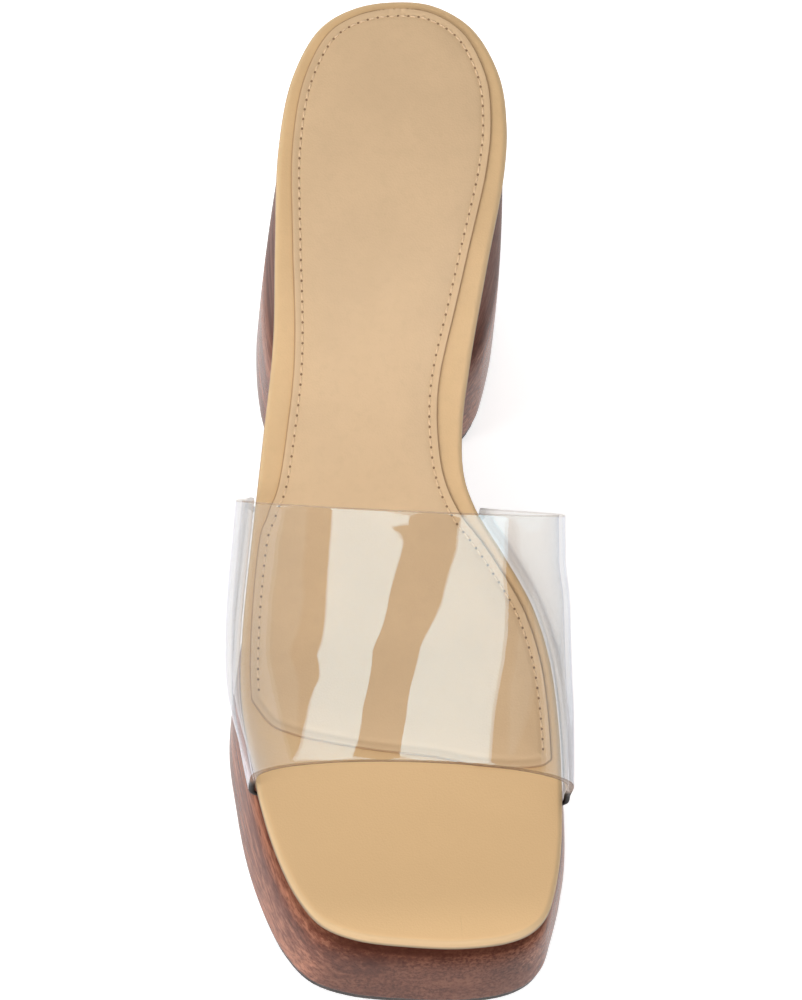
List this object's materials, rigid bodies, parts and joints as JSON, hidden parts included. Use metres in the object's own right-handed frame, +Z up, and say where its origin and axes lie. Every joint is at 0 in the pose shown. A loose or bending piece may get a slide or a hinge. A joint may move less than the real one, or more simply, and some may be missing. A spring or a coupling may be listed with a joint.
{
  "type": "platform heel slide sandal",
  "caption": "Right slide sandal with a tall block heel, thick wooden platform, stitched leather footbed and one wide clear band over the forefoot.",
  "frame": {"origin": "on the floor, at the middle of the heel's rest face", "axes": "+Z up, toe towards -Y, heel towards +Y, big toe side towards +X"},
  "size_m": [0.0874, 0.2313, 0.1192],
  "materials": {
    "stained_wood": "stained reddish brown and lacquered",
    "footbed_leather": "smooth tan leather",
    "sock_leather": "smooth tan leather, lightly padded",
    "clear_vinyl": "clear, glossy, flexible vinyl",
    "dark_rubber": "matte"
  },
  "bodies": {
    "root": {"wood_sole": "stained_wood", "footbed": "footbed_leather", "sock": "sock_leather", "strap": "clear_vinyl", "outsole": "dark_rubber", "heel_top_piece": "dark_rubber"}
  },
  "joints": []
}
